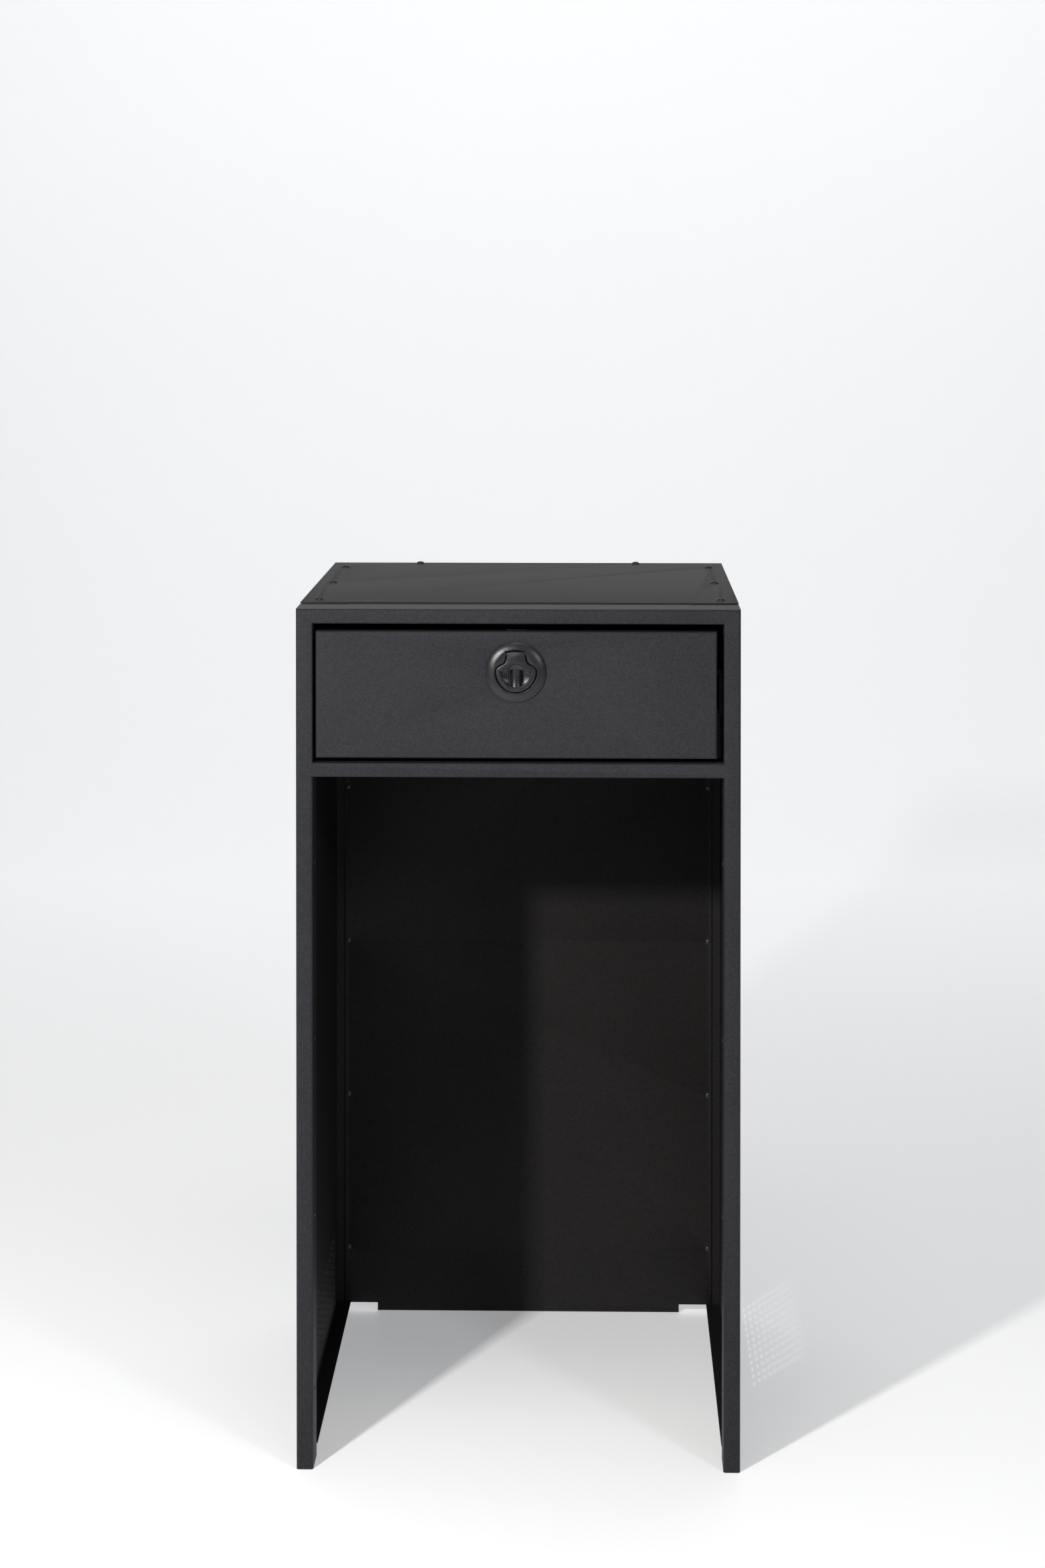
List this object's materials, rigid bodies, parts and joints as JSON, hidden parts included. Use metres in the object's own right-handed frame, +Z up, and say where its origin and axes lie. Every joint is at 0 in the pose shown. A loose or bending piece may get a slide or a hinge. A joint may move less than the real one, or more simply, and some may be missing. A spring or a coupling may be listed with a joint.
{
  "type": "single-drawer sheet-metal cabinet",
  "caption": "Tall, narrow cabinet module of folded black sheet metal, with a shallow drawer on telescopic slides above an open compartment; the drawer has a round pull-ring latch.",
  "frame": {"origin": "middle of the footprint on the floor, counting the latch's bezel that stands proud of the front", "axes": "+Z up; -Y towards the front, where the drawer opens; +X to the right as seen from the front"},
  "size_m": [0.45, 0.504, 0.879],
  "materials": {
    "coat_front": "black fine-texture powder coat, satin",
    "coat_panel": "black fine-texture powder coat, satin",
    "rivet_black": "black coated blind rivet",
    "screw_black": "black oxide socket screw",
    "black_zinc": "black zinc plate",
    "latch_black": "black textured die-cast",
    "gasket_rubber": "matt black rubber",
    "spring_steel": "dark phosphated spring steel"
  },
  "bodies": {
    "cabinet": {"front_frame": "coat_front", "side_panel_right": "coat_panel", "side_panel_left": "coat_panel", "back_panel": "coat_panel", "top_panel": "coat_panel", "frame_rivet_1_right": "rivet_black", "frame_rivet_1_left": "rivet_black", "frame_rivet_2_right": "rivet_black", "frame_rivet_2_left": "rivet_black", "frame_rivet_3_right": "rivet_black", "frame_rivet_3_left": "rivet_black", "frame_rivet_4_right": "rivet_black", "frame_rivet_4_left": "rivet_black", "frame_rivet_5_right": "rivet_black", "frame_rivet_5_left": "rivet_black", "back_rivet_1_right": "rivet_black", "back_rivet_1_left": "rivet_black", "back_rivet_2_right": "rivet_black", "back_rivet_2_left": "rivet_black", "back_rivet_3_right": "rivet_black", "back_rivet_3_left": "rivet_black", "back_rivet_4_right": "rivet_black", "back_rivet_4_left": "rivet_black", "back_rivet_5_right": "rivet_black", "back_rivet_5_left": "rivet_black", "top_screw_1_right": "screw_black", "top_screw_1_left": "screw_black", "top_screw_2_right": "screw_black", "top_screw_2_left": "screw_black", "top_screw_3_right": "screw_black", "top_screw_3_left": "screw_black", "top_screw_rear_right": "screw_black", "top_screw_rear_left": "screw_black", "slide_bracket_right": "black_zinc", "slide_bracket_left": "black_zinc", "slide_outer_right": "black_zinc", "slide_outer_left": "black_zinc", "slide_screw_1_right": "screw_black", "slide_screw_1_left": "screw_black", "slide_screw_2_right": "screw_black", "slide_screw_2_left": "screw_black"},
    "slide_middles": {"slide_middle_right": "black_zinc", "slide_middle_left": "black_zinc"},
    "drawer": {"slide_inner_right": "black_zinc", "slide_inner_left": "black_zinc", "drawer_front": "coat_front", "drawer_box": "coat_panel", "box_screw_1_right": "screw_black", "box_screw_1_left": "screw_black", "box_screw_2_right": "screw_black", "box_screw_2_left": "screw_black", "latch_housing": "latch_black", "latch_gasket": "gasket_rubber", "latch_nut": "latch_black", "latch_pin": "spring_steel", "latch_spring": "spring_steel"},
    "latch_handle": {"latch_handle": "latch_black"},
    "latch_bolt": {"latch_bolt": "black_zinc"}
  },
  "joints": [
    {"name": "drawer_slide", "type": "slide", "parent": "cabinet", "child": "drawer", "axis": [0, -1, 0], "range_m": [0, 0.4]},
    {"name": "middle_slide", "type": "slide", "parent": "cabinet", "child": "slide_middles", "axis": [0, -1, 0], "range_m": [0, 0.2]},
    {"name": "handle_hinge", "type": "hinge", "parent": "drawer", "child": "latch_handle", "pos_m": [-0.002, -0.2502, 0.83], "axis": [-1, 0, 0], "range_deg": [0, 50], "stiffness_Nm_per_rad": 0.02, "springref_deg": -28.65},
    {"name": "bolt_slide", "type": "slide", "parent": "drawer", "child": "latch_bolt", "axis": [0, 0, -1], "range_m": [0, 0.0061], "deforming": ["latch_spring"]}
  ],
  "couplings": [
    {"joint": "middle_slide", "follows": "drawer_slide", "ratio": 0.5},
    {"joint": "bolt_slide", "follows": "handle_hinge", "m_per_rad": 0.0068755}
  ]
}
